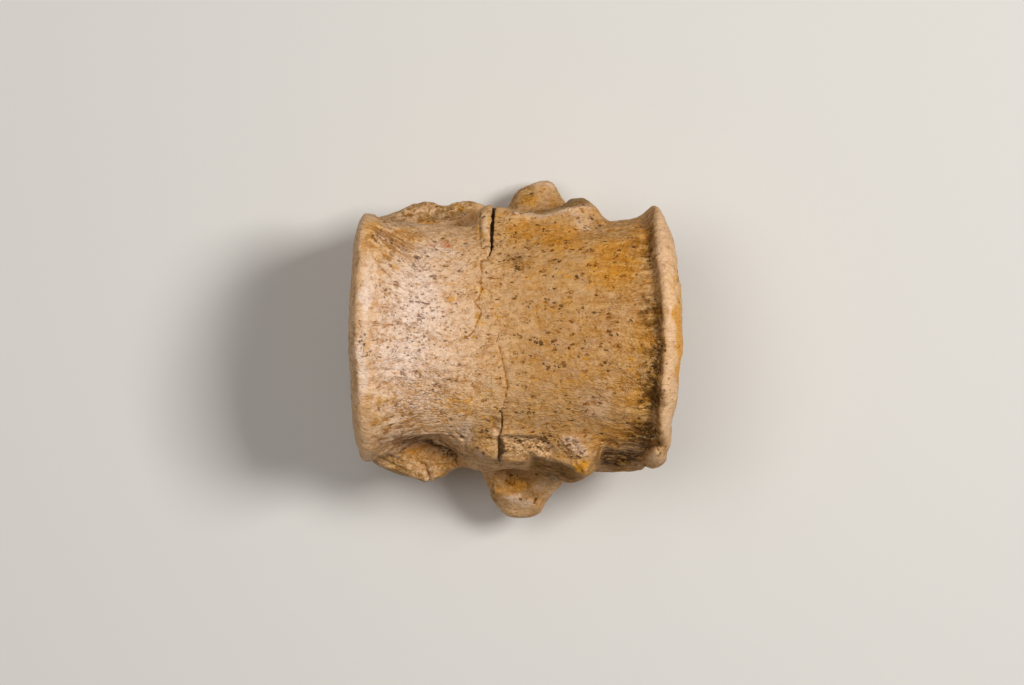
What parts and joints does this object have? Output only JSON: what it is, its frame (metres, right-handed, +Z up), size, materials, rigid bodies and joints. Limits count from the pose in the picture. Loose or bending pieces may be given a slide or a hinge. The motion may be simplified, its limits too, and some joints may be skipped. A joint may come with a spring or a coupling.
{
  "type": "fossil vertebra",
  "caption": "Broken fossil reptile vertebra lying belly up: a spool-shaped body with thick end lips, flank ledges, process stubs and an open canal below.",
  "frame": {"origin": "middle of the bounding box's underside, on the surface that the broken arch walls rest on", "axes": "+Z up, from the broken neural arch towards the belly side; +X from the head end to the tail end; +Y across the bone"},
  "size_m": [0.0286, 0.0302, 0.0256],
  "materials": {
    "bone": "fossil bone, cream to ochre, matt with a faint sheen"
  },
  "bodies": {
    "root": {"vertebra": "bone"}
  },
  "joints": []
}
